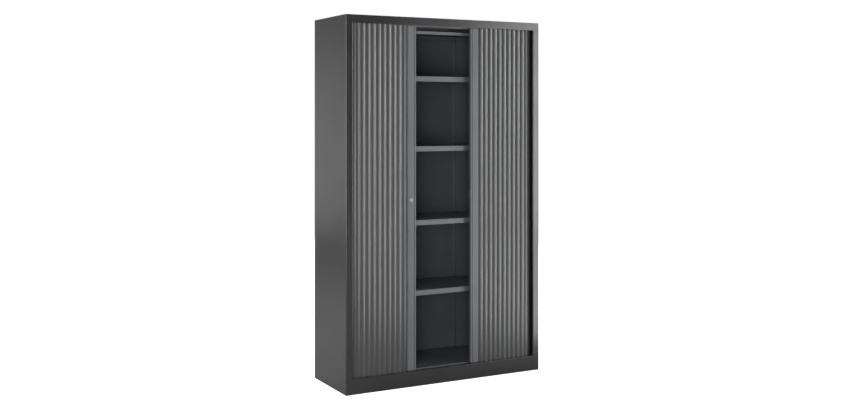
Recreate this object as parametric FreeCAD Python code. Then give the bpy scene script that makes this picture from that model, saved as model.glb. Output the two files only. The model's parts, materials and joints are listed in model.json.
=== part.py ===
import FreeCAD, Part
import math
import os

# Steel storage cabinet with two slatted curtains that slide sideways and round into its side walls
# The origin is on the floor under the middle of the cabinet, with x to the right, y to the back and z up

# Case
width = 1200.0
depth = 430.0
height = 1980.0
sheet = 1.0
fold_radius = 1.0
front_fold_radius = 3.5
seam = 0.4
fit_play = 0.1
overrun = 5.0
same_point = 0.000001
floor_clearance = 2.0
stile_width = 40.0
head_rail_height = 43.0
plinth_height = 85.0
reveal_depth = 11.0
plinth_return = 20.0
rear_flange = 25.0
carrier_flange = 15.0

# Hat sections that stiffen the top and the back
hat_width = 80.0
hat_foot = 15.0
back_hat_depth = 21.0
top_hat_spacing = 200.0

# Base and feet
channel_sheet = 2.0
channel_width = 40.0
channel_gap = 2.0
channel_low = 10.0
foot_side_inset = 23.0
foot_end_inset = 35.0
stem_radius = 5.0
stem_top = 60.0
stem_play = 0.3
pad_radius = 20.0
pad_height = 8.0
pad_floor = 3.0
nut_side = 16.0
nut_collar = 12.0
nut_height = 8.0

# Curtain path, measured in from the outside of the case to the line of slat pivots
curtain_front_inset = 20.0
curtain_side_inset = 13.0
curtain_back_inset = 14.0
corner_radius = 66.0

# Slats
slat_pitch = 30.5
slat_count = 19
slat_wall = 1.5
crown_rise = 4.5
bead_radius = 1.3
bead_play = 0.3
socket_wall = 1.0
neck_half = 0.6
neck_length = 3.2
slat_rest_gap = 0.3
slat_head_play = 3.0

# Tracks
track_wall = 1.5
track_web = 2.0
track_outer = 7.0
track_inner = 5.0
track_depth = 11.0
track_drop = 1.0
back_track_length = 185.0

# Closing profiles at the leading edges of the curtains
lead_width = 50.0
lead_proud = 9.0
lead_back = 10.0
lead_wall = 1.5
lead_step = 6.0
lead_shelf = 2.6
lead_nose_radius = 3.0
lead_shoulder_radius = 4.5
lead_corner_radius = 2.0
grip_edge = 8.75
grip_width = 3.5
grip_depth = 4.0
lead_clearance = 4.0
left_opening = 185.0
right_opening = 155.0
cap_flange = 2.0
cap_plug = 14.0
cap_play = 0.25
glide_play = 0.8
glide_start = 4.0
glide_length = 20.0

# Hook lock in the left closing profile
lock_height = 1000.0
lock_inset = 28.0
lock_rim_radius = 10.0
lock_rim_proud = 1.5
lock_rim_bevel = 0.75
lock_body_radius = 8.5
lock_body_back = 4.5
lock_plug_radius = 6.4
lock_nut_radius = 11.0
lock_nut_thick = 2.0
lock_face_recess = 0.5
keyway_width = 1.2
keyway_length = 7.0
keyway_depth = 3.0
spigot_radius = 4.0
spigot_length = 7.0
hook_thick = 2.5
hook_reach = 44.0
hook_half = 4.5
hook_barb = 7.0
hook_barb_width = 7.0
hook_hub_radius = 7.5
retainer_radius = 6.5
hook_gap = 0.5
hook_slot_play = 1.5
strike_height = 100.0
strike_half = 6.0
strike_thick = 1.5

# Inner lining and decks
deck_offset = 12.0
deck_height = 90.0
head_deck_drop = 48.0
liner_front_setback = 15.0
liner_hem = 9.0
liner_hem_radius = 6.0
liner_return = 285.0

# Slotted uprights
upright_sheet = 1.5
upright_width = 30.0
upright_depth = 11.0
upright_inset = 50.0
slot_width = 4.0
slot_height = 12.0
slot_pitch = 20.0
slots_each_side = 1

# Shelves and their clips
shelf_level_shares = (0.22, 0.43, 0.65, 0.855)
lowest_shelf_step = 17.0
shelf_end_gap = 1.0
shelf_front_gap = 25.0
shelf_rear_gap = 25.0
shelf_fold = 28.0
shelf_return = 12.0
shelf_end_fold = 20.0
clip_thick = 3.2
clip_seat = 12.0
clip_height = 8.0
clip_tip = 3.0
clip_hook_drop = 6.0
clip_play = 0.2

# Frame for hanging files
file_rail_inset = 7.5
file_rail_drop = 20.0
file_rail_height = 16.0
file_rail_foot = 8.0
file_bar_thick = 1.5
file_bar_height = 22.0
file_bar_drop = 4.0
file_bar_overhang = 5.0

V = FreeCAD.Vector
origin = V(0, 0, 0)
up = V(0, 0, 1)

half = width / 2
front = -depth / 2
back = depth / 2

pivot_front = front + curtain_front_inset
pivot_side = half - curtain_side_inset
pivot_back = back - curtain_back_inset
corner_x = pivot_side - corner_radius
corner_front = pivot_front + corner_radius
corner_back = pivot_back - corner_radius

track_top = plinth_height - track_drop
track_floor = track_top - track_depth
carrier_top = track_floor - track_web
head_track_bottom = height - head_rail_height + track_drop
head_track_ceiling = head_track_bottom + track_depth
head_carrier_low = head_track_ceiling + track_web

slat_bottom = track_floor + slat_rest_gap
slat_top = head_track_ceiling - slat_head_play
lead_bottom = track_top + lead_clearance
lead_top = head_track_bottom - lead_clearance
socket_radius = bead_radius + bead_play
socket_outer = socket_radius + socket_wall

lining_x = pivot_side - deck_offset
lining_back = pivot_back - deck_offset
liner_end = lining_x - liner_return
head_deck_low = height - head_deck_drop
back_inner = back - sheet * 2
upright_face = lining_x - sheet - upright_depth
shelf_half = upright_face - shelf_end_gap
shelf_front = pivot_front + shelf_front_gap
shelf_rear = lining_back - shelf_rear_gap
upright_ys = (shelf_front + upright_inset, shelf_rear - upright_inset)
lowest_shelf = deck_height + lowest_shelf_step
slot_count = (head_deck_low - lowest_shelf) / slot_pitch
shelf_tops = [lowest_shelf + slot_pitch * round(share * slot_count) for share in shelf_level_shares]
file_rail_top = head_deck_low - file_rail_drop
file_rail_ys = (shelf_front + file_rail_inset, shelf_rear - file_rail_inset)
foot_x = half - foot_side_inset
foot_ys = (front + foot_end_inset, back - foot_end_inset)


def block(x0, x1, y0, y1, z0, z1):
    return Part.makeBox(x1 - x0, y1 - y0, z1 - z0, V(x0, y0, z0))


def cylinder(radius, length, start, direction):
    return Part.makeCylinder(radius, length, start, direction)


def rounded_face(points, radii):
    """Face inside a closed outline whose corners are rounded by the radii given, zero for a sharp one."""
    spans = []
    for i, corner in enumerate(points):
        arriving = (corner - points[i - 1]).normalize()
        leaving = (points[(i + 1) % len(points)] - corner).normalize()
        turn = arriving.getAngle(leaving)
        trim = radii[i] * math.tan(turn / 2)
        middle = corner
        if radii[i] > 0:
            inside = (leaving - arriving).normalize()
            middle = corner + inside * (radii[i] / math.cos(turn / 2) - radii[i])
        spans.append((corner - arriving * trim, middle, corner + leaving * trim))
    edges = []
    for i, (start, middle, end) in enumerate(spans):
        if not start.isEqual(spans[i - 1][2], same_point):
            edges.append(Part.LineSegment(spans[i - 1][2], start).toShape())
        if radii[i] > 0:
            edges.append(Part.Arc(start, middle, end).toShape())
    return Part.Face(Part.Wire(edges))


def folded_face(path, inward, radii, thickness):
    """Section of a sheet with one face on path and the sheet to its left if inward is 1, or right if -1."""
    steps = [(b - a).normalize() for a, b in zip(path, path[1:])]
    normals = [V(-d.y, d.x, 0) * inward for d in steps]
    other = [path[0] + normals[0] * thickness]
    face_radii = [0]
    other_radii = [0]
    for i in range(1, len(path) - 1):
        before, after = normals[i - 1], normals[i]
        other.append(path[i] + (before + after) * (thickness / (1 + before.dot(after))))
        outside = steps[i - 1].cross(steps[i]).z * inward > 0
        bend = thickness if radii[i - 1] > 0 else 0
        face_radii.append(radii[i - 1] + (bend if outside else 0))
        other_radii.append(radii[i - 1] + (0 if outside else bend))
    other.append(path[-1] + normals[-1] * thickness)
    face_radii.append(0)
    other_radii.append(0)
    return rounded_face(path + other[::-1], face_radii + other_radii[::-1])


def folded(path, inward, thickness=sheet):
    return folded_face(path, inward, [fold_radius] * (len(path) - 2), thickness)


def sharply_folded(path, inward, thickness=sheet):
    """Section of a hidden sheet, whose tight folds are drawn as plain corners."""
    return folded_face(path, inward, [0] * (len(path) - 2), thickness)


def polygon(centre, radius, sides):
    """Regular outline round a centre, with a flat side to the front."""
    turns = [2 * math.pi * (k + 1 / 2) / sides + math.pi / 2 for k in range(sides)]
    points = [centre + V(radius * math.cos(t), radius * math.sin(t)) for t in turns]
    return rounded_face(points, [0] * sides)


def raise_up(face, low, high):
    """Solid over a section drawn in plan."""
    lifted = face.copy()
    lifted.translate(V(0, 0, low))
    return lifted.extrude(V(0, 0, high - low))


def run_across(face, low, high):
    """Solid along x over a section drawn as y and z."""
    solid = raise_up(face, low, high)
    solid.rotate(origin, V(1, 1, 1), 120)
    return solid


def run_back(face, low, high):
    """Solid along y over a section drawn as x and z."""
    solid = raise_up(face, -high, -low)
    solid.rotate(origin, V(1, 0, 0), 90)
    return solid


def mirrored(shape):
    return shape.mirror(origin, V(1, 0, 0))


# Case panels

# The rails butt against the flat of the stiles, where the fold of the return begins
rail_reach = half - stile_width + sheet + front_fold_radius


def rail_gap(low, high):
    """Cut that takes the return and its fold off a stile, where a rail runs up to it."""
    return block(
        half - stile_width - overrun,
        rail_reach + seam,
        front - overrun,
        front + reveal_depth + seam,
        low,
        high,
    )


def side_panel():
    path = [
        V(half - rear_flange, back),
        V(half, back),
        V(half, front),
        V(half - stile_width, front),
        V(half - stile_width, front + reveal_depth),
    ]
    radii = [fold_radius, front_fold_radius, front_fold_radius]
    panel = raise_up(folded_face(path, -1, radii, sheet), floor_clearance, height)
    return panel.cut([
        rail_gap(floor_clearance - overrun, plinth_height + seam),
        rail_gap(height - head_rail_height - seam, height + overrun),
    ])


def top_panel():
    rail_low = height - head_rail_height
    path = [
        V(front + reveal_depth, rail_low),
        V(front, rail_low),
        V(front, height),
        V(back, height),
        V(back, height - carrier_flange),
    ]
    shell = run_across(folded(path, -1), -rail_reach, rail_reach)
    edge = half - sheet - seam
    strip_front = front + sheet + seam
    strip_back = back - sheet - seam
    outline = [
        V(rail_reach, strip_front),
        V(edge, strip_front),
        V(edge, strip_back),
        V(rail_reach, strip_back),
    ]
    strip = raise_up(rounded_face(outline, [0, front_fold_radius - seam, 0, 0]), height - sheet, height)
    return shell.fuse([strip, mirrored(strip)]).removeSplitter()


def back_panel():
    edge = half - sheet - fold_radius - seam
    panel_top = height - sheet - fold_radius - seam
    return block(-edge, edge, back_inner, back - sheet, floor_clearance, panel_top)


def plinth_rail():
    path = [
        V(front + plinth_return, floor_clearance),
        V(front, floor_clearance),
        V(front, plinth_height),
        V(front + reveal_depth, plinth_height),
    ]
    return run_across(folded(path, -1), -rail_reach, rail_reach)


def carrier_panel(level, flange_level, inward):
    """Flat panel between the sides that holds the curtain tracks, with its side edges folded."""
    edge = half - sheet - seam
    path = [V(-edge, flange_level), V(-edge, level), V(edge, level), V(edge, flange_level)]
    return run_back(sharply_folded(path, inward), front + reveal_depth + seam, back_inner - seam)


def floor_panel():
    return carrier_panel(carrier_top, carrier_top - carrier_flange, -1)


def head_panel():
    return carrier_panel(head_carrier_low, head_carrier_low + carrier_flange, 1)


def hat_path(centre, level, drop):
    reach = hat_width / 2
    return [
        V(centre - reach - hat_foot, level),
        V(centre - reach, level),
        V(centre - reach, level - drop),
        V(centre + reach, level - drop),
        V(centre + reach, level),
        V(centre + reach + hat_foot, level),
    ]


def back_stiffener():
    path = hat_path(0, back_inner, back_hat_depth)
    return raise_up(sharply_folded(path, -1), carrier_top, head_carrier_low)


def top_stiffeners():
    under_top = height - sheet
    drop = under_top - head_carrier_low - sheet * 2 - seam
    reach = half - stile_width
    hats = []
    for side in (-1, 1):
        path = hat_path(side * top_hat_spacing / 2, under_top, drop)
        hats.append(run_across(sharply_folded(path, -1), -reach, reach))
    return Part.makeCompound(hats)


# Base

def base_channel():
    outer = half - sheet - channel_gap
    top = carrier_top - sheet
    path = [
        V(outer - channel_width, channel_low),
        V(outer, channel_low),
        V(outer, top),
        V(outer - channel_width, top),
    ]
    section = sharply_folded(path, 1, channel_sheet)
    rail = run_back(section, front + reveal_depth + seam, back_inner - seam)
    reach = nut_collar / 2 + stem_play
    under = channel_low - overrun
    over = channel_low + channel_sheet + overrun
    holes = [block(foot_x - reach, foot_x + reach, y - reach, y + reach, under, over) for y in foot_ys]
    return rail.cut(holes)


def foot_nuts():
    """Square nuts whose collars sit in the square holes of the channels."""
    collar = nut_collar / 2
    side = nut_side / 2
    seat = channel_low + channel_sheet
    nuts = []
    for x in (-foot_x, foot_x):
        for y in foot_ys:
            body = block(x - side, x + side, y - side, y + side, seat, seat + nut_height)
            neck = block(x - collar, x + collar, y - collar, y + collar, channel_low, seat)
            bore_end = V(x, y, channel_low - overrun)
            bore = cylinder(stem_radius + stem_play, nut_height + overrun * 2, bore_end, up)
            nuts.append(body.fuse(neck).cut(bore))
    return Part.makeCompound(nuts)


def foot_pad(x, y):
    """Six-sided moulded foot that is turned by hand, with a blind bore for its stem."""
    pad = raise_up(polygon(V(x, y), pad_radius, 6), 0, pad_height)
    return pad.cut(cylinder(stem_radius + fit_play, pad_height, V(x, y, pad_floor), up))


def foot_stem(x, y):
    return cylinder(stem_radius, stem_top - pad_floor, V(x, y, pad_floor), up)


# Decks and lining

def deck_face(inset):
    """Outline of a deck, which keeps one distance from the curtain on every side."""
    offset = deck_offset + inset
    x = pivot_side - offset
    y0 = pivot_front + offset
    y1 = pivot_back - offset
    points = [V(-x, y0), V(x, y0), V(x, y1), V(-x, y1)]
    return rounded_face(points, [corner_radius - offset] * 4)


def base_deck():
    pan = raise_up(deck_face(0), carrier_top, deck_height)
    return pan.cut(raise_up(deck_face(sheet), carrier_top - overrun, deck_height - sheet))


def head_deck():
    pan = raise_up(deck_face(0), head_deck_low, head_carrier_low)
    return pan.cut(raise_up(deck_face(sheet), head_deck_low + sheet, head_carrier_low + overrun))


def liner():
    """Lining between the curtain and the shelves, from a hem at the front round to the back panel.

    Its last fold, behind the shelves, is drawn as a plain corner.
    """
    edge = corner_front - liner_front_setback
    path = [
        V(lining_x - liner_hem, edge - liner_hem),
        V(lining_x, edge),
        V(lining_x, lining_back),
        V(liner_end, lining_back),
        V(liner_end, back_inner - seam),
    ]
    radii = [liner_hem_radius, corner_radius - deck_offset - sheet, 0]
    return raise_up(folded_face(path, 1, radii, sheet), deck_height, head_deck_low)


# Uprights, shelves and file frame

def slot_levels():
    """Bottoms of the slots, a few above and below each shelf's clips."""
    levels = []
    for top in shelf_tops:
        seat = top - shelf_end_fold - clip_height
        levels += [seat + step * slot_pitch for step in range(-slots_each_side, slots_each_side + 1)]
    return levels


def upright(y):
    wall = lining_x - sheet
    reach = upright_width / 2
    path = [V(wall, y - reach), V(upright_face, y - reach), V(upright_face, y + reach), V(wall, y + reach)]
    post = raise_up(folded(path, -1, upright_sheet), deck_height, head_deck_low)
    inner = upright_face + upright_sheet + fold_radius
    slots = [
        block(upright_face - fold_radius, inner, y - slot_width / 2, y + slot_width / 2, z, z + slot_height)
        for z in slot_levels()
    ]
    return post.cut(slots)


def shelf(top):
    low = top - shelf_fold
    path = [
        V(shelf_front + shelf_return, low),
        V(shelf_front, low),
        V(shelf_front, top),
        V(shelf_rear, top),
        V(shelf_rear, low),
        V(shelf_rear - shelf_return, low),
    ]
    section = folded_face(path, -1, [0, fold_radius, fold_radius, 0], sheet)
    tray = run_across(section, -shelf_half, shelf_half)
    inset = sheet + fold_radius + seam
    end = block(
        shelf_half - sheet,
        shelf_half,
        shelf_front + inset,
        shelf_rear - inset,
        top - shelf_end_fold,
        top - sheet,
    )
    return tray.fuse([end, mirrored(end)]).removeSplitter()


def shelf_clip(y, top):
    """Plate clip that hooks down behind the upright's web and holds up the end of a shelf."""
    seat = top - shelf_end_fold
    low = seat - clip_height
    behind = upright_face + upright_sheet + clip_play
    back_edge = behind + upright_sheet
    tip = upright_face - clip_seat
    points = [
        V(tip, seat),
        V(back_edge, seat),
        V(back_edge, low - clip_hook_drop),
        V(behind, low - clip_hook_drop),
        V(behind, low),
        V(upright_face - clip_tip, low),
        V(tip, seat - clip_tip),
    ]
    return run_back(rounded_face(points, [0] * len(points)), y - clip_thick / 2, y + clip_thick / 2)


def shelf_clips():
    clips = []
    for top in shelf_tops:
        for y in upright_ys:
            clip = shelf_clip(y, top)
            clips += [clip, mirrored(clip)]
    return Part.makeCompound(clips)


def file_rail(y, toe):
    """Angle that files hang on, with its foot turned towards the middle of the cabinet."""
    reach = upright_face - file_bar_thick - seam
    low = file_rail_top - file_rail_height
    path = [V(y + toe * file_rail_foot, low), V(y, low), V(y, file_rail_top)]
    return run_across(folded(path, -toe), -reach, reach)


def file_bar():
    low, high = file_rail_ys
    top = file_rail_top - file_bar_drop
    return block(
        upright_face - file_bar_thick,
        upright_face,
        low - file_bar_overhang,
        high + file_bar_overhang,
        top - file_bar_height,
        top,
    )


# Curtain tracks

def channel_solid(band, floor_low, floor_high, wall_low, wall_high):
    """Channel whose web fills the whole band and whose two walls stand along its edges."""
    web = raise_up(band(-track_inner - track_wall, track_outer + track_wall), floor_low, floor_high)
    outer = raise_up(band(track_outer, track_outer + track_wall), wall_low, wall_high)
    inner = raise_up(band(-track_inner - track_wall, -track_inner), wall_low, wall_high)
    return web.fuse([outer, inner]).removeSplitter()


def straight_band(low, high):
    y0 = pivot_front - high
    y1 = pivot_front - low
    points = [V(-corner_x, y0), V(corner_x, y0), V(corner_x, y1), V(-corner_x, y1)]
    return rounded_face(points, [0] * 4)


def corner_band(low, high):
    """Band round the front corner, along the side and round the rear corner, between two offsets."""
    end = corner_x - back_track_length
    points = []
    for offset in (high, low):
        run = [
            V(corner_x, pivot_front - offset),
            V(pivot_side + offset, pivot_front - offset),
            V(pivot_side + offset, pivot_back + offset),
            V(end, pivot_back + offset),
        ]
        points += run if offset == high else run[::-1]
    outer = corner_radius + high
    inner = corner_radius + low
    return rounded_face(points, [0, outer, outer, 0, 0, inner, inner, 0])


def bottom_track(band):
    return channel_solid(band, carrier_top, track_floor, track_floor, track_top)


def top_track(band):
    return channel_solid(band, head_track_ceiling, head_carrier_low, head_track_bottom, head_track_ceiling)


# Curtains

def socket_point(radius, degrees):
    return V(radius * math.cos(math.radians(degrees)), radius * math.sin(math.radians(degrees)))


bead_angles = (330, 225, 135, 30)
socket_angles = (25, 92, 158, 225, 292)
socket_heel_angles = (235, 180)
socket_brow_angle = 65


def socket_points(pivot):
    """Open ring round a pivot, from its upper lip through the inside to its lower lip."""
    lips = [pivot + socket_point(socket_outer, socket_angles[0])]
    lips += [pivot + socket_point(socket_radius, a) for a in socket_angles]
    lips.append(pivot + socket_point(socket_outer, socket_angles[-1]))
    return lips


def slat_face():
    """Section of one slat: bead and neck at its first pivot, crowned shell, socket at its second."""
    pivot = V(slat_pitch, 0)
    bead = [socket_point(bead_radius, a) for a in bead_angles]
    brow = pivot + socket_point(socket_outer, socket_brow_angle)
    heel = [pivot + socket_point(socket_outer, a) for a in socket_heel_angles]
    crown_start = V(neck_length, neck_half)
    crown_peak = V((neck_length + brow.x) / 2, crown_rise)
    shell_start = V(neck_length + slat_wall, -neck_half)
    shell_peak = V((shell_start.x + heel[-1].x) / 2, crown_rise - slat_wall)
    lips = socket_points(pivot)
    straight = [shell_start] + bead + [crown_start]
    rest = [brow] + lips + heel
    edges = [Part.LineSegment(a, b).toShape() for a, b in zip(straight, straight[1:])]
    edges.append(Part.Arc(crown_start, crown_peak, brow).toShape())
    edges += [Part.LineSegment(a, b).toShape() for a, b in zip(rest, rest[1:])]
    edges.append(Part.Arc(heel[-1], shell_peak, shell_start).toShape())
    return Part.Face(Part.Wire(edges))


def path_point(distance):
    """Point on the pivot line of the right-hand curtain, at a distance from the middle of the cabinet."""
    quarter = corner_radius * math.pi / 2
    side_run = corner_back - corner_front
    if distance <= corner_x:
        return V(distance, pivot_front)
    distance -= corner_x
    if distance <= quarter:
        angle = distance / corner_radius
        return V(corner_x + corner_radius * math.sin(angle), corner_front - corner_radius * math.cos(angle))
    distance -= quarter
    if distance <= side_run:
        return V(pivot_side, corner_front + distance)
    distance -= side_run
    if distance <= quarter:
        angle = distance / corner_radius
        return V(corner_x + corner_radius * math.cos(angle), corner_back + corner_radius * math.sin(angle))
    return V(corner_x - (distance - quarter), pivot_back)


def next_pivot(distance):
    """Distance along the pivot line of the point that is one slat's pitch away in a straight line."""
    start = path_point(distance)
    low = distance + slat_pitch / 2
    high = distance + slat_pitch * 2
    for _ in range(60):
        middle = (low + high) / 2
        if (path_point(middle) - start).Length < slat_pitch:
            low = middle
        else:
            high = middle
    return high


def curtain(opening):
    """Slats of a right-hand curtain, sorted into those at the front, in the corner and along the side."""
    blank = raise_up(slat_face(), slat_bottom, slat_top).mirror(origin, V(0, 1, 0))
    corner_end = corner_x + corner_radius * math.pi / 2
    groups = {"front": [], "corner": [], "side": []}
    distance = opening + lead_width
    for _ in range(slat_count):
        following = next_pivot(distance)
        start = path_point(distance)
        step = path_point(following) - start
        slat = blank.copy()
        slat.rotate(origin, V(0, 0, 1), math.degrees(math.atan2(step.y, step.x)))
        slat.translate(start)
        if following <= corner_x:
            groups["front"].append(slat)
        elif distance >= corner_end:
            groups["side"].append(slat)
        else:
            groups["corner"].append(slat)
        distance = following
    return {name: Part.makeCompound(slats) for name, slats in groups.items()}


# Closing profiles

def lead_point(opening, along, out):
    """Point of a right-hand profile, along from its nose and out from the pivot line towards the front."""
    return V(opening + along, pivot_front - out)


def lead_hollow(opening):
    """Inside of the profile, one wall in from its outside."""
    front_end = lead_width - lead_wall
    back_end = lead_width - lead_step - lead_wall
    floor = lead_proud - lead_wall
    grip_floor = lead_proud - grip_depth - lead_wall
    points = [
        (lead_wall, floor, 0),
        (grip_edge - lead_wall, floor, 0),
        (grip_edge - lead_wall, grip_floor, 0),
        (grip_edge + grip_width + lead_wall, grip_floor, 0),
        (grip_edge + grip_width + lead_wall, floor, 0),
        (front_end, floor, lead_shoulder_radius - lead_wall),
        (front_end, lead_shelf + lead_wall, 0),
        (back_end, lead_shelf + lead_wall, 0),
        (back_end, -lead_back + lead_wall, 0),
        (lead_wall, -lead_back + lead_wall, 0),
    ]
    corners = [lead_point(opening, a, v) for a, v, r in points]
    return rounded_face(corners, [r for a, v, r in points])


def lead_outline(opening):
    """Outside of the profile, with a grip groove near its nose and a slat socket at its back edge."""
    socket = []
    for point in socket_points(V(lead_width, 0)):
        socket.append((point.x, point.y, 0))
    heel = socket_point(socket_outer, socket_heel_angles[0])
    back_end = lead_width - lead_step
    points = [
        (0, lead_proud, lead_nose_radius),
        (grip_edge, lead_proud, 0),
        (grip_edge, lead_proud - grip_depth, 0),
        (grip_edge + grip_width, lead_proud - grip_depth, 0),
        (grip_edge + grip_width, lead_proud, 0),
        (lead_width, lead_proud, lead_shoulder_radius),
        (lead_width, lead_shelf, 0),
    ]
    points += socket
    points += [
        (lead_width + heel.x, heel.y, 0),
        (back_end, heel.y, 0),
        (back_end, -lead_back, lead_corner_radius),
        (0, -lead_back, lead_nose_radius),
    ]
    corners = [lead_point(opening, a, v) for a, v, r in points]
    return rounded_face(corners, [r for a, v, r in points])


def hook_slot(opening):
    """Cut through the nose that the lock's hook swings through."""
    reach = hook_half + hook_slot_play
    wall_reach = lock_inset - lead_wall
    top = math.sqrt(hook_reach ** 2 - wall_reach ** 2) + reach
    low_y = hook_front - hook_slot_play
    high_y = hook_front + hook_thick + hook_slot_play
    return block(
        opening - overrun,
        opening + lead_wall + strike_thick + overrun,
        low_y,
        high_y,
        lock_height - reach,
        lock_height + top,
    )


def lead(opening):
    shell = raise_up(lead_outline(opening), lead_bottom, lead_top)
    return shell.cut([raise_up(lead_hollow(opening), lead_bottom, lead_top), hook_slot(opening)])


def lead_caps(opening):
    """Caps pushed into the two ends of a profile, each with a glide that runs in the track."""
    inset = lead_wall + cap_play
    plug = [
        opening + inset,
        opening + lead_width - lead_step - inset,
        pivot_front - lead_proud + grip_depth + inset,
        pivot_front + lead_back - inset,
    ]
    plate = [
        lead_point(opening, a, v)
        for a, v in ((0, lead_proud), (lead_width - lead_step, lead_proud),
                     (lead_width - lead_step, -lead_back), (0, -lead_back))
    ]
    flange = rounded_face(plate, [lead_nose_radius, 0, 0, lead_nose_radius])
    glide = [opening + glide_start, opening + glide_start + glide_length]
    near = pivot_front - track_outer + glide_play
    far = pivot_front + track_inner - glide_play
    bottom = block(*plug, lead_bottom, lead_bottom + cap_plug).fuse([
        raise_up(flange, lead_bottom - cap_flange, lead_bottom),
        block(*glide, near, far, slat_bottom, lead_bottom - cap_flange),
    ])
    top = block(*plug, lead_top - cap_plug, lead_top).fuse([
        raise_up(flange, lead_top, lead_top + cap_flange),
        block(*glide, near, far, lead_top + cap_flange, slat_top),
    ])
    return Part.makeCompound([bottom.removeSplitter(), top.removeSplitter()])


# Lock

lock_x = -left_opening - lock_inset
lock_face = pivot_front - lead_proud
lock_back = lock_face + lead_wall + lock_body_back
hook_front = lock_back + hook_gap


def lock_cylinder(radius, y0, y1):
    return cylinder(radius, y1 - y0, V(lock_x, y0, lock_height), V(0, 1, 0))


def left_lead():
    shell = mirrored(lead(left_opening))
    hole = lock_cylinder(lock_body_radius + cap_play, lock_face - overrun, lock_face + lead_wall + cap_play)
    return shell.cut(hole)


def lock_ring(outer, inner, y0, y1):
    return lock_cylinder(outer, y0, y1).cut(lock_cylinder(inner, y0 - overrun, y1 + overrun))


def lock_case():
    """Flanged bush in the front of the profile."""
    body = lock_cylinder(lock_body_radius, lock_face, lock_back)
    rim = Part.makeCone(
        lock_rim_radius - lock_rim_bevel,
        lock_rim_radius,
        lock_rim_proud,
        V(lock_x, lock_face - lock_rim_proud, lock_height),
        V(0, 1, 0),
    )
    bore = lock_cylinder(lock_plug_radius + fit_play, lock_face - overrun, lock_back + overrun)
    return rim.fuse(body).cut(bore).removeSplitter()


def lock_nut():
    """Six-sided nut that clamps the bush behind the profile's front wall."""
    start = lock_face + lead_wall
    body = run_back(polygon(V(lock_x, lock_height), lock_nut_radius, 6), start, start + lock_nut_thick)
    bore = lock_cylinder(lock_body_radius + fit_play, start - overrun, start + lock_nut_thick + overrun)
    return body.cut(bore)


def lock_barrel():
    """Turning plug with its keyway and the spigot that carries the hook."""
    start = lock_face - lock_rim_proud + lock_face_recess
    plug = lock_cylinder(lock_plug_radius, start, lock_back + hook_gap)
    spigot = lock_cylinder(spigot_radius, lock_back + hook_gap, lock_back + hook_gap + spigot_length)
    keyway = block(
        lock_x - keyway_width / 2,
        lock_x + keyway_width / 2,
        start - overrun,
        start + keyway_depth,
        lock_height - keyway_length / 2,
        lock_height + keyway_length / 2,
    )
    return plug.fuse(spigot).removeSplitter().cut(keyway)


def lock_hook():
    """Arm that stands upright when unlocked, with a barb that catches behind the strike once turned down."""
    top = hook_reach
    points = [
        V(-hook_half, 0),
        V(hook_half, 0),
        V(hook_half, top - hook_barb_width),
        V(hook_half + hook_barb, top - hook_barb_width),
        V(hook_half + hook_barb, top),
        V(-hook_half, top),
    ]
    points = [p + V(lock_x, lock_height) for p in points]
    radii = [0, 0, fold_radius, fold_radius, fold_radius * 2, hook_half]
    arm = run_back(rounded_face(points, radii), hook_front, hook_front + hook_thick)
    hub = lock_cylinder(hook_hub_radius, hook_front, hook_front + hook_thick)
    bore = lock_cylinder(spigot_radius + fit_play, hook_front - overrun, hook_front + hook_thick + overrun)
    return arm.fuse(hub).removeSplitter().cut(bore)


def lock_retainer():
    """Ring that holds the hook on the spigot."""
    start = hook_front + hook_thick
    return lock_ring(retainer_radius, spigot_radius + fit_play, start, start + lock_nut_thick)


def lock_strike():
    """Steel plate behind the nose of the right profile, slotted for the hook."""
    inner = right_opening + lead_wall + fit_play
    middle = hook_front + hook_thick / 2
    plate = block(
        inner,
        inner + strike_thick,
        middle - strike_half,
        middle + strike_half,
        lock_height - strike_height / 2,
        lock_height + strike_height / 2,
    )
    return plate.cut(hook_slot(right_opening))


# Every piece by its name

right_curtain = curtain(right_opening)
left_curtain = curtain(left_opening)

pieces = {
    "right_side_panel": side_panel(),
    "left_side_panel": mirrored(side_panel()),
    "top_panel": top_panel(),
    "back_panel": back_panel(),
    "plinth_rail": plinth_rail(),
    "floor_panel": floor_panel(),
    "head_panel": head_panel(),
    "back_stiffener": back_stiffener(),
    "top_stiffeners": top_stiffeners(),
    "right_base_channel": base_channel(),
    "left_base_channel": mirrored(base_channel()),
    "foot_nuts": foot_nuts(),
    "base_deck": base_deck(),
    "head_deck": head_deck(),
    "right_liner": liner(),
    "left_liner": mirrored(liner()),
    "shelf_clips": shelf_clips(),
    "right_file_bar": file_bar(),
    "left_file_bar": mirrored(file_bar()),
    "front_file_rail": file_rail(file_rail_ys[0], 1),
    "rear_file_rail": file_rail(file_rail_ys[1], -1),
    "bottom_front_track": bottom_track(straight_band),
    "top_front_track": top_track(straight_band),
    "right_bottom_track": bottom_track(corner_band),
    "left_bottom_track": mirrored(bottom_track(corner_band)),
    "right_top_track": top_track(corner_band),
    "left_top_track": mirrored(top_track(corner_band)),
    "left_lead": left_lead(),
    "left_lead_caps": mirrored(lead_caps(left_opening)),
    "right_lead": lead(right_opening),
    "right_lead_caps": lead_caps(right_opening),
    "lock_case": lock_case(),
    "lock_nut": lock_nut(),
    "lock_barrel": lock_barrel(),
    "lock_hook": lock_hook(),
    "lock_retainer": lock_retainer(),
    "lock_strike": lock_strike(),
}
for number, top in enumerate(shelf_tops, 1):
    pieces[f"shelf_{number}"] = shelf(top)
for place, y in zip(("front", "rear"), upright_ys):
    pieces[f"right_{place}_upright"] = upright(y)
    pieces[f"left_{place}_upright"] = mirrored(upright(y))
for place, y in zip(("front", "rear"), foot_ys):
    for side, x in (("left", -foot_x), ("right", foot_x)):
        pieces[f"{side}_{place}_foot_pad"] = foot_pad(x, y)
        pieces[f"{side}_{place}_foot_stem"] = foot_stem(x, y)
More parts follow.
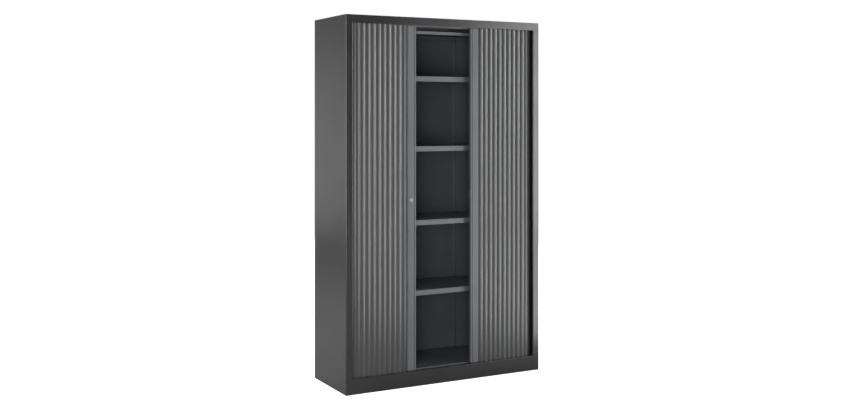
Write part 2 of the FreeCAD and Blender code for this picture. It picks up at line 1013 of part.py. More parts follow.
for place in ("front", "corner", "side"):
    pieces[f"right_slats_{place}"] = right_curtain[place]
    pieces[f"left_slats_{place}"] = mirrored(left_curtain[place])

os.makedirs("parts", exist_ok=True)
for name, shape in pieces.items():
    shape.exportStep(f"parts/{name}.step")
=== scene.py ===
import json
import math

import bmesh
import bpy
from mathutils import Matrix, Vector


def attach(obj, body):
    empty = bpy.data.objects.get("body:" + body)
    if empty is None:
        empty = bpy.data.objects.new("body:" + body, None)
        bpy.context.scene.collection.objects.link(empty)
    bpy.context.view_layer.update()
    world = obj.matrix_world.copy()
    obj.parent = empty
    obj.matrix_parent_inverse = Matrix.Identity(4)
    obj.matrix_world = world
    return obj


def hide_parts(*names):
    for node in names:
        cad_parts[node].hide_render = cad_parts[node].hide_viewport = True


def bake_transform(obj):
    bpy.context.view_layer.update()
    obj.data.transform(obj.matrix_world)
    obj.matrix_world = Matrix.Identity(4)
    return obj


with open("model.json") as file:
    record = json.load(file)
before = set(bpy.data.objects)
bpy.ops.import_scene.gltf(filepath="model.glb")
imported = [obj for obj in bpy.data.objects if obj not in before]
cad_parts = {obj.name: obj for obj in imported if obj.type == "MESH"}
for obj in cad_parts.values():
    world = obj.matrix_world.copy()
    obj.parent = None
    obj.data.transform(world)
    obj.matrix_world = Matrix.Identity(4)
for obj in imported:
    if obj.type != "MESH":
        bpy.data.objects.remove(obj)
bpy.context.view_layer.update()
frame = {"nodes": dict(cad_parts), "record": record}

# Way that x runs outwards on each side
outward = {"left": -1, "right": 1}

# Line of the slat pivots in metres, out from the middle of the cabinet and back round the front corner
pivot_front = -0.195
pivot_side = 0.587
corner_radius = 0.066
corner_x = pivot_side - corner_radius
corner_y = pivot_front + corner_radius

# Depth behind the middle of the cabinet, past which what faces forwards has the inside tones
back_depth = 0.1

# Slats
slat_pitch = 0.0305
slat_wall = 0.0015
crown_rise = 0.0045
bead_radius = 0.0013
socket_radius = 0.0016
socket_outer = 0.0026
neck_half = 0.0006
neck_length = 0.0032
slat_low = 0.0733
slat_high = 1.946
lead_width = 0.050
openings = {"left": 0.185, "right": 0.155}
slats_shown = {"left": 13, "right": 14}

# Slotted uprights
upright_face = 0.563
upright_back = 0.574
upright_half = 0.015
upright_sheet = 0.0015
upright_low = 0.09
upright_high = 1.932
upright_ys = {"front": -0.12, "rear": 0.114}
slot_half = 0.002
slot_height = 0.012
slot_pitch = 0.02
first_slot = 0.119
slots_in_upright = 90

# Lock in the left closing profile
lock_axis = Vector((-0.213, -0.204, 1.0))
lock_rim = 0.010
lock_rim_proud = 0.0015
lock_rim_round = 0.0005
lock_bore = 0.0065
lock_body = 0.0085
lock_body_back = 0.006

# Screws down the back edges of the side panels
screw_x = 0.5875
screw_levels = [0.065 + 0.264 * k for k in range(8)]
screw_face = 0.215
screw_radius = 0.0042
screw_proud = 0.0012
recess_half = 0.0006
recess_reach = 0.0024
recess_depth = 0.0007

# Radius of a screw's head and share of its full height, from the middle to the rim
screw_dome = [
    (0.0003, 1.0),
    (0.0009, 1.0),
    (0.0018, 0.98),
    (0.0026, 0.9),
    (0.0034, 0.7),
    (screw_radius, 0.0),
]


# Shader nodes

def add(tree, kind, values=(), **settings):
    """Adds a node, fills or links its inputs, and returns it."""
    node = tree.nodes.new(kind)
    for name, value in settings.items():
        setattr(node, name, value)
    for name, value in dict(values).items():
        if isinstance(value, bpy.types.NodeSocket):
            tree.links.new(value, node.inputs[name])
        else:
            node.inputs[name].default_value = value
    return node


def reckon(tree, operation, first, second, clamp=False):
    """Result of one step of arithmetic."""
    return add(tree, "ShaderNodeMath", {0: first, 1: second}, operation=operation, use_clamp=clamp).outputs[0]


def between(tree, share, first, second):
    """Colour that lies between two colours."""
    return add(tree, "ShaderNodeMix", {0: share, 6: first, 7: second}, data_type="RGBA").outputs[2]


def rescaled(tree, value, low, high, new_low, new_high):
    """Value moved from one range to another and kept inside it."""
    limits = {"Value": value, "From Min": low, "From Max": high, "To Min": new_low, "To Max": new_high}
    return add(tree, "ShaderNodeMapRange", limits).outputs["Result"]


def cloud(tree, stretch, scale, detail=2.0):
    """Noise fixed to the piece, drawn out along an axis where stretch is small."""
    place = add(tree, "ShaderNodeTexCoord").outputs["Object"]
    drawn = add(tree, "ShaderNodeVectorMath", {0: place, 1: stretch}, operation="MULTIPLY").outputs[0]
    return add(tree, "ShaderNodeTexNoise", {"Vector": drawn, "Scale": scale, "Detail": detail}).outputs["Fac"]


def effect(name, inputs, output, kind):
    """Starts a node group with named sockets, and gives its tree, its inputs and the socket that ends it."""
    tree = bpy.data.node_groups.new(name, "ShaderNodeTree")
    for label, socket_kind, value in inputs:
        socket = tree.interface.new_socket(name=label, in_out="INPUT", socket_type=socket_kind)
        socket.default_value = value
    tree.interface.new_socket(name=output, in_out="OUTPUT", socket_type=kind)
    start = tree.nodes.new("NodeGroupInput")
    end = tree.nodes.new("NodeGroupOutput")
    return tree, start.outputs, end.inputs[output]


def use(tree, group, values):
    """Places an effect in a material with its own values, and gives its result."""
    return add(tree, "ShaderNodeGroup", values, node_tree=group).outputs[0]


# Effects that several finishes share

def make_grain():
    """Fine relief of a coat or a moulded skin."""
    tree, given, end = effect(
        "fine_grain",
        [("Scale", "NodeSocketFloat", 1000.0), ("Stretch", "NodeSocketVector", (1.0, 1.0, 1.0))],
        "Height",
        "NodeSocketFloat",
    )
    tree.links.new(cloud(tree, given["Stretch"], given["Scale"]), end)
    return tree


def make_drift():
    """Slow, faint change of tone across a surface."""
    tree, given, end = effect(
        "tone_drift",
        [
            ("Tone", "NodeSocketColor", (0.5, 0.5, 0.5, 1.0)),
            ("Other Tone", "NodeSocketColor", (0.5, 0.5, 0.5, 1.0)),
            ("Scale", "NodeSocketFloat", 5.0),
            ("Stretch", "NodeSocketVector", (1.0, 1.0, 1.0)),
        ],
        "Color",
        "NodeSocketColor",
    )
    patches = rescaled(tree, cloud(tree, given["Stretch"], given["Scale"], 4.0), 0.35, 0.65, 0.0, 1.0)
    tree.links.new(between(tree, patches, given["Tone"], given["Other Tone"]), end)
    return tree


def make_edge_wear():
    """Mask of the outer edges, broken up where the finish has rubbed thin."""
    tree, given, end = effect(
        "edge_wear",
        [("Width", "NodeSocketFloat", 0.0015), ("Strength", "NodeSocketFloat", 1.0)],
        "Mask",
        "NodeSocketFloat",
    )
    rounded = add(tree, "ShaderNodeBevel", {"Radius": given["Width"]}, samples=4).outputs[0]
    true_side = add(tree, "ShaderNodeNewGeometry").outputs["Normal"]
    bend = add(tree, "ShaderNodeVectorMath", {0: rounded, 1: true_side}, operation="DOT_PRODUCT")
    edge = rescaled(tree, bend.outputs["Value"], 0.99, 0.85, 0.0, 1.0)
    rubbed = rescaled(tree, cloud(tree, (1.0, 1.0, 1.0), 90.0, 5.0), 0.42, 0.6, 0.15, 1.0)
    worn = reckon(tree, "MULTIPLY", edge, rubbed)
    tree.links.new(reckon(tree, "MULTIPLY", worn, given["Strength"], True), end)
    return tree


def make_dust():
    """Mask of the fine dust that settles on what faces up."""
    tree, given, end = effect(
        "settled_dust",
        [("Amount", "NodeSocketFloat", 0.3), ("Scale", "NodeSocketFloat", 14.0)],
        "Mask",
        "NodeSocketFloat",
    )
    side = add(tree, "ShaderNodeNewGeometry").outputs["Normal"]
    level = add(tree, "ShaderNodeSeparateXYZ", {0: side}).outputs["Z"]
    facing_up = rescaled(tree, level, 0.6, 1.0, 0.0, 1.0)
    patches = rescaled(tree, cloud(tree, (1.0, 1.0, 1.0), given["Scale"], 6.0), 0.3, 0.7, 0.35, 1.0)
    settled = reckon(tree, "MULTIPLY", facing_up, patches)
    tree.links.new(reckon(tree, "MULTIPLY", settled, given["Amount"], True), end)
    return tree


def make_inside_of_back():
    """Mask of what lies deeper than a given depth and faces forwards."""
    tree, given, end = effect(
        "inside_of_back",
        [("Depth", "NodeSocketFloat", back_depth)],
        "Mask",
        "NodeSocketFloat",
    )
    side = add(tree, "ShaderNodeNewGeometry").outputs["Normal"]
    facing = add(tree, "ShaderNodeSeparateXYZ", {0: side}).outputs["Y"]
    forwards = rescaled(tree, facing, -0.5, -0.6, 0.0, 1.0)
    place = add(tree, "ShaderNodeTexCoord").outputs["Object"]
    depth = add(tree, "ShaderNodeSeparateXYZ", {0: place}).outputs["Y"]
    deep = reckon(tree, "GREATER_THAN", depth, given["Depth"])
    tree.links.new(reckon(tree, "MULTIPLY", forwards, deep), end)
    return tree


def make_handling():
    """Roughness that changes a little where a surface has been wiped and touched."""
    tree, given, end = effect(
        "handling",
        [
            ("Smoothest", "NodeSocketFloat", 0.3),
            ("Roughest", "NodeSocketFloat", 0.4),
            ("Scale", "NodeSocketFloat", 9.0),
            ("Stretch", "NodeSocketVector", (1.0, 1.0, 1.0)),
        ],
        "Roughness",
        "NodeSocketFloat",
    )
    patches = cloud(tree, given["Stretch"], given["Scale"], 3.0)
    tree.links.new(rescaled(tree, patches, 0.3, 0.7, given["Smoothest"], given["Roughest"]), end)
    return tree


fine_grain = make_grain()
tone_drift = make_drift()
edge_wear = make_edge_wear()
settled_dust = make_dust()
inside_of_back = make_inside_of_back()
handling = make_handling()
dust_grey = (0.42, 0.40, 0.37, 1.0)

# How far a pattern is drawn out along each axis of the piece
evenly = (1.0, 1.0, 1.0)
drawn_out = (1.0, 1.0, 0.004)


# Finishes

def opaque(rgb):
    return (*rgb, 1.0)


def drifting(tree, tones, scale, stretch=evenly):
    """Colour that drifts between two tones."""
    values = {"Tone": opaque(tones[0]), "Other Tone": opaque(tones[1]), "Scale": scale, "Stretch": stretch}
    return use(tree, tone_drift, values)


def wiped(tree, smoothest, roughest, scale, stretch=evenly):
    """Roughness of a surface that has been wiped and touched."""
    values = {"Smoothest": smoothest, "Roughest": roughest, "Scale": scale, "Stretch": stretch}
    return use(tree, handling, values)


def finish(name, metallic=0.0, **fixed):
    """Starts a material, and gives its tree and its shader with the fixed values set."""
    material = bpy.data.materials.new(name)
    material.use_nodes = True
    tree = material.node_tree
    shader = tree.nodes["Principled BSDF"]
    shader.inputs["Metallic"].default_value = metallic
    for label, value in fixed.items():
        shader.inputs[label.replace("_", " ")].default_value = value
    return material, tree, shader


def relief(tree, shader, height, depth):
    """Raises a surface by a height that runs from nothing to depth, in metres."""
    bump = add(tree, "ShaderNodeBump", {"Height": height, "Distance": depth, "Strength": 1.0})
    tree.links.new(bump.outputs["Normal"], shader.inputs["Normal"])


def powder_coat(name, tones, inside_tones, worn_tone, smoothest, roughest, dust):
    """Powder coat on sheet steel, with orange peel, worn edges, dust, and other tones inside the back."""
    material, tree, shader = finish(name)
    outside = drifting(tree, tones, scale=4.0)
    inside = drifting(tree, inside_tones, scale=4.0)
    coat = between(tree, use(tree, inside_of_back, {"Depth": back_depth}), outside, inside)
    worn = use(tree, edge_wear, {"Width": 0.0012, "Strength": 0.5})
    dusty = use(tree, settled_dust, {"Amount": dust, "Scale": 16.0})
    colour = between(tree, dusty, between(tree, worn, coat, opaque(worn_tone)), dust_grey)
    rubbed = wiped(tree, smoothest, roughest, scale=7.0)
    duller = reckon(tree, "MULTIPLY", dusty, 0.5)
    peel = use(tree, fine_grain, {"Scale": 850.0, "Stretch": evenly})
    tree.links.new(colour, shader.inputs["Base Color"])
    tree.links.new(reckon(tree, "ADD", rubbed, duller, True), shader.inputs["Roughness"])
    relief(tree, shader, peel, 0.00003)
    return material


def drawn_plastic(name, tones, worn_tone):
    """Plastic drawn through a die, with faint lines along its length and a satin face."""
    material, tree, shader = finish(name)
    colour = drifting(tree, tones, scale=60.0, stretch=drawn_out)
    worn = use(tree, edge_wear, {"Width": 0.0006, "Strength": 0.35})
    lines = use(tree, fine_grain, {"Scale": 2600.0, "Stretch": drawn_out})
    rubbed = wiped(tree, smoothest=0.28, roughest=0.34, scale=40.0, stretch=(1.0, 1.0, 0.05))
    tree.links.new(between(tree, worn, colour, opaque(worn_tone)), shader.inputs["Base Color"])
    tree.links.new(rubbed, shader.inputs["Roughness"])
    relief(tree, shader, lines, 0.000004)
    return material


def painted_profile(name, tones, worn_tone):
    """Satin paint on drawn aluminium, with the die lines just showing and bare metal at worn edges."""
    material, tree, shader = finish(name)
    colour = drifting(tree, tones, scale=6.0)
    worn = use(tree, edge_wear, {"Width": 0.0008, "Strength": 0.6})
    lines = use(tree, fine_grain, {"Scale": 1800.0, "Stretch": drawn_out})
    rubbed = wiped(tree, smoothest=0.46, roughest=0.54, scale=12.0, stretch=(1.0, 1.0, 0.3))
    tree.links.new(between(tree, worn, colour, opaque(worn_tone)), shader.inputs["Base Color"])
    tree.links.new(reckon(tree, "MULTIPLY", worn, 0.7), shader.inputs["Metallic"])
    tree.links.new(rubbed, shader.inputs["Roughness"])
    relief(tree, shader, lines, 0.00003)
    return material


def moulded_plastic(name, tones, grain_scale, grain_depth, smoothest, roughest):
    """Moulded plastic with a spark-textured skin."""
    material, tree, shader = finish(name)
    colour = drifting(tree, tones, scale=30.0)
    dusty = use(tree, settled_dust, {"Amount": 0.25, "Scale": 40.0})
    rubbed = wiped(tree, smoothest, roughest, scale=50.0)
    grain = use(tree, fine_grain, {"Scale": grain_scale, "Stretch": evenly})
    tree.links.new(between(tree, dusty, colour, dust_grey), shader.inputs["Base Color"])
    tree.links.new(rubbed, shader.inputs["Roughness"])
    relief(tree, shader, grain, grain_depth)
    return material


def nickel_plate(name, tones):
    """Dulled nickel with fine turning lines round the lock's axis."""
    material, tree, shader = finish(name, metallic=1.0)
    place = add(tree, "ShaderNodeTexCoord").outputs["Object"]
    from_axis = add(tree, "ShaderNodeVectorMath", {0: place, 1: lock_axis}, operation="SUBTRACT").outputs[0]
    across = (1.0, 0.0, 1.0)
    flat = add(tree, "ShaderNodeVectorMath", {0: from_axis, 1: across}, operation="MULTIPLY").outputs[0]
    radius = add(tree, "ShaderNodeVectorMath", {0: flat}, operation="LENGTH").outputs["Value"]
    turning = {"W": radius, "Scale": 9000.0, "Detail": 2.0}
    rings = add(tree, "ShaderNodeTexNoise", turning, noise_dimensions="1D")
    colour = drifting(tree, tones, scale=300.0)
    rubbed = wiped(tree, smoothest=0.28, roughest=0.40, scale=400.0)
    tree.links.new(colour, shader.inputs["Base Color"])
    tree.links.new(rubbed, shader.inputs["Roughness"])
    relief(tree, shader, rings.outputs["Fac"], 0.00001)
    return material


def zinc_plate(name, tones):
    """Zinc on pressed steel, with a faint spangle and a dull bloom."""
    material, tree, shader = finish(name, metallic=1.0)
    place = add(tree, "ShaderNodeTexCoord").outputs["Object"]
    spangle = add(tree, "ShaderNodeTexVoronoi", {"Vector": place, "Scale": 260.0}).outputs["Color"]
    bright = add(tree, "ShaderNodeSeparateXYZ", {0: spangle}).outputs["X"]
    colour = between(tree, bright, opaque(tones[0]), opaque(tones[1]))
    bloom = use(tree, settled_dust, {"Amount": 0.4, "Scale": 60.0})
    rubbed = wiped(tree, smoothest=0.32, roughest=0.48, scale=120.0)
    tree.links.new(between(tree, bloom, colour, dust_grey), shader.inputs["Base Color"])
    tree.links.new(rubbed, shader.inputs["Roughness"])
    relief(tree, shader, bright, 0.00001)
    return material


# Tones that each finish drifts between
case_graphite = ((0.0155, 0.0152, 0.0158), (0.0185, 0.0182, 0.0189))
shelf_grey = ((0.062, 0.067, 0.077), (0.071, 0.076, 0.088))
slat_grey = ((0.035, 0.036, 0.038), (0.042, 0.043, 0.045))
lead_grey = ((0.070, 0.078, 0.085), (0.078, 0.086, 0.094))
track_black = ((0.012, 0.012, 0.013), (0.018, 0.018, 0.019))
foot_black = ((0.014, 0.014, 0.014), (0.021, 0.021, 0.021))
dull_nickel = ((0.27, 0.265, 0.25), (0.22, 0.215, 0.21))
dull_zinc = ((0.46, 0.47, 0.47), (0.60, 0.61, 0.60))

finishes = {
    "case_steel": powder_coat(
        "case_coat",
        case_graphite,
        shelf_grey,
        worn_tone=(0.07, 0.07, 0.07),
        smoothest=0.21,
        roughest=0.26,
        dust=0.10,
    ),
    "inner_steel": powder_coat(
        "inner_coat",
        shelf_grey,
        shelf_grey,
        worn_tone=(0.14, 0.14, 0.15),
        smoothest=0.40,
        roughest=0.48,
        dust=0.12,
    ),
    "slat_plastic": drawn_plastic("slat_plastic", slat_grey, worn_tone=(0.08, 0.08, 0.08)),
    "lead_aluminium": painted_profile("lead_paint", lead_grey, worn_tone=(0.26, 0.27, 0.28)),
    "track_plastic": moulded_plastic(
        "track_nylon",
        track_black,
        grain_scale=1500.0,
        grain_depth=0.00004,
        smoothest=0.38,
        roughest=0.5,
    ),
    "lock_chrome": nickel_plate("lock_nickel", dull_nickel),
    "zinc_steel": zinc_plate("zinc", dull_zinc),
    "foot_plastic": moulded_plastic(
        "foot_plastic",
        foot_black,
        grain_scale=900.0,
        grain_depth=0.00008,
        smoothest=0.5,
        roughest=0.62,
    ),
}


# Meshes

def new_piece(name, points, faces, slot, sharpest=32):
    """Makes a piece from its points and faces, smooth except where two faces meet at a sharper angle."""
    mesh = bpy.data.meshes.new(name)
    mesh.from_pydata(points, [], faces)
    mesh.materials.append(finishes[slot])
    work = bmesh.new()
    work.from_mesh(mesh)
    bmesh.ops.recalc_face_normals(work, faces=work.faces)
    for face in work.faces:
        face.smooth = True
    for edge in work.edges:
        edge.smooth = edge.calc_face_angle(0.0) < math.radians(sharpest)
    work.to_mesh(mesh)
    work.free()
    piece = bpy.data.objects.new(name, mesh)
    bpy.context.scene.collection.objects.link(piece)
    return piece


def circle_points(centre, radius, start, end, steps):
    """Points along an arc in a plane, with its angles in degrees."""
    points = []
    for k in range(steps + 1):
        angle = math.radians(start + (end - start) * k / steps)
        points.append((centre[0] + radius * math.cos(angle), centre[1] + radius * math.sin(angle)))
    return points


def arch_points(start, peak_height, end, steps):
    """Points along an arc from start to end that peaks above its middle at peak_height."""
    (x0, y0), (x2, y2) = start, end
    x1, y1 = (x0 + x2) / 2, peak_height
    spread = 2 * (x0 * (y1 - y2) + x1 * (y2 - y0) + x2 * (y0 - y1))
    s0, s1, s2 = x0 ** 2 + y0 ** 2, x1 ** 2 + y1 ** 2, x2 ** 2 + y2 ** 2
    centre_x = (s0 * (y1 - y2) + s1 * (y2 - y0) + s2 * (y0 - y1)) / spread
    centre_y = (s0 * (x2 - x1) + s1 * (x0 - x2) + s2 * (x1 - x0)) / spread
    radius = math.hypot(x0 - centre_x, y0 - centre_y)
    first = math.degrees(math.atan2(y0 - centre_y, x0 - centre_x))
    last = math.degrees(math.atan2(y2 - centre_y, x2 - centre_x))
    return circle_points((centre_x, centre_y), radius, first, last, steps)


def prism(outline, low, high):
    """Points and faces of a closed outline carried straight up from low to high."""
    count = len(outline)
    points = [(x, y, z) for z in (low, high) for x, y in outline]
    faces = [(k, (k + 1) % count, (k + 1) % count + count, k + count) for k in range(count)]
    faces += [tuple(range(count))[::-1], tuple(range(count, count * 2))]
    return points, faces


# Slats

def slat_outline():
    """Section of a slat, along it from its bead and out from the pivot line."""
    ring = (slat_pitch, 0)
    start = (neck_length + slat_wall, -neck_half)
    brow = circle_points(ring, socket_outer, 65, 25, 4)
    heel = circle_points(ring, socket_outer, 292, 180, 8)
    outline = circle_points((0, 0), bead_radius, 330, 30, 14)
    outline += arch_points((neck_length, neck_half), crown_rise, brow[0], 26)
    outline += brow[1:]
    outline += circle_points(ring, socket_radius, 25, 292, 16)
    outline += heel
    outline += arch_points(heel[-1], crown_rise - slat_wall, start, 20)[1:]
    return outline


def path_point(distance):
    """Point on the pivot line of the right-hand curtain, at a distance from the middle of the cabinet."""
    quarter = corner_radius * math.pi / 2
    beyond = distance - corner_x
    if beyond <= 0:
        return Vector((distance, pivot_front))
    if beyond <= quarter:
        angle = beyond / corner_radius
        x = corner_x + corner_radius * math.sin(angle)
        y = corner_y - corner_radius * math.cos(angle)
        return Vector((x, y))
    return Vector((pivot_side, corner_y + beyond - quarter))


def next_pivot(distance):
    """Distance to the point one slat's pitch further along, measured in a straight line."""
    start = path_point(distance)
    low, high = distance + slat_pitch / 2, distance + slat_pitch * 2
    halvings = 50
    for _ in range(halvings):
        middle = (low + high) / 2
        if (path_point(middle) - start).length < slat_pitch:
            low = middle
        else:
            high = middle
    return high


def follow(piece):
    """Bakes a slat's placing into its points."""
    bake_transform(piece)


def hang_slats(side):
    """Slats from the closing profile to the corner, each its own piece."""
    sign = outward[side]
    outline = slat_outline()
    distance = openings[side] + lead_width
    for number in range(1, slats_shown[side] + 1):
        following = next_pivot(distance)
        start, end = path_point(distance), path_point(following)
        along = (end - start).normalized()
        out = Vector((along.y, -along.x))
        placed = [start + along * u + out * v for u, v in outline]
        points, faces = prism([(sign * p.x, p.y) for p in placed], slat_low, slat_high)
        slat = new_piece(f"{side}_slat_{number:02d}", points, faces, "slat_plastic")
        if number == 1:
            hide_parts(f"{side}_slats_front", f"{side}_slats_corner")
        follow(slat)
        distance = following


# Uprights

def stand_upright(side, place):
    """Folded upright with a full row of slots for shelf clips."""
    sign = outward[side]
    middle = upright_ys[place]
    fold = upright_sheet
    columns = [
        (upright_back, -upright_half),
        (upright_face + fold, -upright_half),
        (upright_face, -upright_half + fold),
        (upright_face, -slot_half),
        (upright_face, slot_half),
        (upright_face, upright_half - fold),
        (upright_face + fold, upright_half),
        (upright_back, upright_half),
    ]
    levels = [upright_low]
    for k in range(slots_in_upright):
        levels += [first_slot + slot_pitch * k, first_slot + slot_pitch * k + slot_height]
    levels.append(upright_high)
    points = [(sign * x, middle + y, z) for z in levels for x, y in columns]
    width = len(columns)
    slot_column = 3
    faces = []
    for row in range(len(levels) - 1):
        for column in range(width - 1):
            if column == slot_column and row % 2 == 1:
                continue
            corner = row * width + column
            faces.append((corner, corner + 1, corner + 1 + width, corner + width))
    post = new_piece(f"{side}_{place}_slotted_upright", points, faces, "inner_steel", sharpest=50)
    thicken(post, upright_sheet, Vector((sign, 0, 0)))
    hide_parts(f"{side}_{place}_upright")
    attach(post, "root")


def thicken(piece, thickness, towards):
    """Gives a bent sheet its thickness, on the side of its widest face that a direction points to."""
    mesh = piece.data
    widest = max(mesh.polygons, key=lambda face: face.area * abs(face.normal.dot(towards)))
    modifier = piece.modifiers.new("sheet", "SOLIDIFY")
    modifier.thickness = thickness
    modifier.offset = 1.0 if widest.normal.dot(towards) > 0 else -1.0
    modifier.use_even_offset = True
    solid = bpy.data.meshes.new_from_object(piece.evaluated_get(bpy.context.evaluated_depsgraph_get()))
    piece.modifiers.clear()
    piece.data = solid
    bpy.data.meshes.remove(mesh)


# Lock and screws

def turned(profile, centre, steps=48):
    """Points and faces of a profile of radius and depth, turned round an axis that runs to the back."""
    points = []
    for radius, depth in profile:
        for k in range(steps):
            angle = 2 * math.pi * k / steps
            offset = Vector((radius * math.cos(angle), depth, radius * math.sin(angle)))
            points.append(centre + offset)
    faces = []
    for ring in range(len(profile) - 1):
        for k in range(steps):
            near = ring * steps + k
            far = ring * steps + (k + 1) % steps
            faces.append((near, far, far + steps, near + steps))
    return points, faces


def fit_lock_case():
    """Flanged case of the lock, with a rounded rim and a countersunk mouth."""
    centre_depth = -lock_rim_proud + lock_rim_round
    profile = [(lock_bore, lock_body_back), (lock_body, lock_body_back), (lock_body, 0.0), (lock_rim, 0.0)]
    profile += circle_points((lock_rim - lock_rim_round, centre_depth), lock_rim_round, 0, -90, 5)
    profile += circle_points((lock_bore + lock_rim_round, centre_depth), lock_rim_round, 270, 180, 5)
    profile.append((lock_bore, lock_body_back))
    points, faces = turned(profile, lock_axis)
    rim_piece = new_piece("lock_case_turned", points, faces, "lock_chrome")
    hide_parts("lock_case")
    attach(rim_piece, "left_shutter")


def drive_screws():
    """Low-headed screws with crossed recesses that hold the back panel to the side panels."""
    steps = 32
    for side, sign in outward.items():
        points = []
        faces = []
        for level in screw_levels:
            centre = Vector((sign * screw_x, screw_face, level))
            base = len(points)
            for radius, height in screw_dome:
                for k in range(steps):
                    angle = 2 * math.pi * k / steps
                    x, z = radius * math.cos(angle), radius * math.sin(angle)
                    sunk = min(abs(x), abs(z)) < recess_half and radius < recess_reach
                    y = height * screw_proud - (recess_depth if sunk else 0)
                    points.append(centre + Vector((x, y, z)))
            for ring in range(len(screw_dome) - 1):
                for k in range(steps):
                    near = base + ring * steps + k
                    far = base + ring * steps + (k + 1) % steps
                    faces.append((near, far, far + steps, near + steps))
            faces.append(tuple(base + k for k in range(steps)))
        screws = new_piece(f"{side}_back_screws", points, faces, "zinc_steel", sharpest=40)
        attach(screws, "root")


# Finish of the pieces that keep their made shape

def coat_nodes():
    """Gives every piece of the frame the finish of its slot."""
    for part in frame["record"]["subparts"]:
        for place in frame["nodes"][part["node"]].material_slots:
            place.material = finishes[part["material_slot"]]


# Stage, light and camera

def lay_floor():
    """Plain pale floor, white to the camera but for the shade that the cabinet gives it."""
    reach = 7.0
    mesh = bpy.data.meshes.new("floor")
    corners = [(-reach, -reach, 0.0), (reach, -reach, 0.0), (reach, reach, 0.0), (-reach, reach, 0.0)]
    mesh.from_pydata(corners, [], [(0, 1, 2, 3)])
    material, tree, shader = finish("floor_pale", Roughness=0.9)
    shader.inputs["Base Color"].default_value = (0.86, 0.86, 0.86, 1.0)
    to_camera = add(tree, "ShaderNodeLightPath").outputs["Is Camera Ray"]
    glow = add(tree, "ShaderNodeEmission", {"Strength": reckon(tree, "MULTIPLY", to_camera, 0.95)})
    both = add(tree, "ShaderNodeAddShader", {0: shader.outputs[0], 1: glow.outputs[0]})
    tree.links.new(both.outputs[0], tree.nodes["Material Output"].inputs["Surface"])
    mesh.materials.append(material)
    floor = bpy.data.objects.new("floor", mesh)
    bpy.context.scene.collection.objects.link(floor)


def hang_light(name, place, target, width, height, power):
    """Soft light from a flat panel that faces a point, in metres and watts."""
    lamp = bpy.data.lights.new(name, "AREA")
    lamp.shape = "RECTANGLE"
    lamp.size = width
    lamp.size_y = height
    lamp.energy = power
    light = bpy.data.objects.new(name, lamp)
    light.location = place
    light.rotation_euler = (Vector(target) - Vector(place)).to_track_quat("-Z", "Y").to_euler()
    bpy.context.scene.collection.objects.link(light)


def lay_reflector(name, near, far, width, power):
    """Soft light from a narrow board that lies on the floor and faces up, in metres and watts."""
    near, far = Vector(near), Vector(far)
    lamp = bpy.data.lights.new(name, "AREA")
    lamp.shape = "RECTANGLE"
    lamp.size = (far - near).length
    lamp.size_y = width
    lamp.energy = power
    light = bpy.data.objects.new(name, lamp)
    along = (far - near).normalized()
    down = Vector((0.0, 0.0, -1.0))
    turn = Matrix((along, down.cross(along), down)).transposed()
    light.matrix_world = Matrix.LocRotScale((near + far) / 2, turn, None)
    bpy.context.scene.collection.objects.link(light)


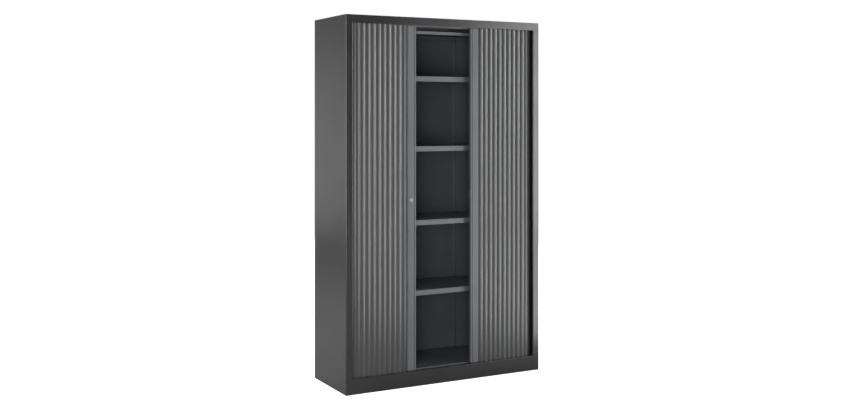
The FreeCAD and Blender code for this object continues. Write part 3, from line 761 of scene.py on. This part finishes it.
def light_room():
    """White backdrop to the camera; for the light, a room bright low at the back and dark at the front."""
    world = bpy.data.worlds.new("room")
    world.use_nodes = True
    tree = world.node_tree
    tree.nodes.clear()
    looking = add(tree, "ShaderNodeTexCoord").outputs["Generated"]
    direction = add(tree, "ShaderNodeSeparateXYZ", {0: looking}).outputs
    from_front = rescaled(tree, direction["Y"], -0.2, 0.7, 0.0, 1.0)
    above_eye = rescaled(tree, direction["Z"], 0.0, 0.12, 0.9, 0.18)
    level = reckon(tree, "MULTIPLY", from_front, above_eye)
    lit = add(tree, "ShaderNodeBackground", {"Color": (1.0, 1.0, 1.0, 1.0), "Strength": level})
    seen = add(tree, "ShaderNodeBackground", {"Color": (1.0, 1.0, 1.0, 1.0), "Strength": 1.0})
    to_camera = add(tree, "ShaderNodeLightPath").outputs["Is Camera Ray"]
    both = add(tree, "ShaderNodeMixShader", {0: to_camera, 1: lit.outputs[0], 2: seen.outputs[0]})
    add(tree, "ShaderNodeOutputWorld", {"Surface": both.outputs[0]})
    bpy.context.scene.world = world
    hang_light("front_panel", (4.93, -6.50, 0.70), (0.0, -0.2, 0.70), 2.25, 1.4, 90)
    hang_light("front_high_panel", (5.14, -6.33, 2.30), (0.0, -0.2, 2.30), 1.68, 1.8, 85)
    hang_light("side_panel", (7.31, -3.45, 1.60), (0.0, -0.2, 1.60), 1.12, 3.2, 165)
    hang_light("side_high_panel", (7.69, -2.41, 2.30), (0.0, -0.2, 2.30), 1.12, 1.8, 130)
    hang_light("top_panel", (-1.9, -2.4, 3.7), (-0.3, -0.2, 1.2), 2.5, 2.0, 20)
    lay_reflector("floor_board", (1.0, -0.84, 0.02), (3.95, -5.2, 0.02), 0.8, 75)
    lay_reflector("side_board", (2.3, -1.13, 0.02), (6.0, -2.62, 0.02), 0.9, 120)
    hang_light("left_panel", (-4.5, 0.6, 1.6), (-0.6, 0.0, 1.1), 2.5, 2.5, 160)
    hang_light("camera_side_panel", (-4.2, -6.5, 1.8), (0.0, -0.2, 1.0), 2.5, 2.5, 165)
    hang_light("low_panel", (-2.4, -4.6, 0.7), (0.0, -0.2, 0.8), 1.6, 1.2, 65)
    hang_light("back_panel", (2.2, 5.2, 2.4), (-0.8, 1.5, 0.3), 2.5, 2.0, 120)
    bpy.context.scene.view_settings.view_transform = "Standard"


def place_camera():
    """Camera to the front left at eye height, held level, with the picture shifted down to the cabinet."""
    lens = bpy.data.cameras.new("camera")
    lens.sensor_fit = "HORIZONTAL"
    lens.sensor_width = 36.0
    lens.lens = 44.38
    picture_width, picture_height, horizon_row = 854, 410, 114.5
    lens.shift_y = (horizon_row - picture_height / 2) / picture_width
    camera = bpy.data.objects.new("camera", lens)
    camera.location = (-2.809, -5.213, 1.459)
    camera.rotation_euler = (math.radians(90.0), 0.0, math.radians(-28.24))
    bpy.context.scene.collection.objects.link(camera)
    bpy.context.scene.camera = camera


coat_nodes()
for side in ("left", "right"):
    hang_slats(side)
    for place in ("front", "rear"):
        stand_upright(side, place)
fit_lock_case()
drive_screws()
lay_floor()
light_room()
place_camera()
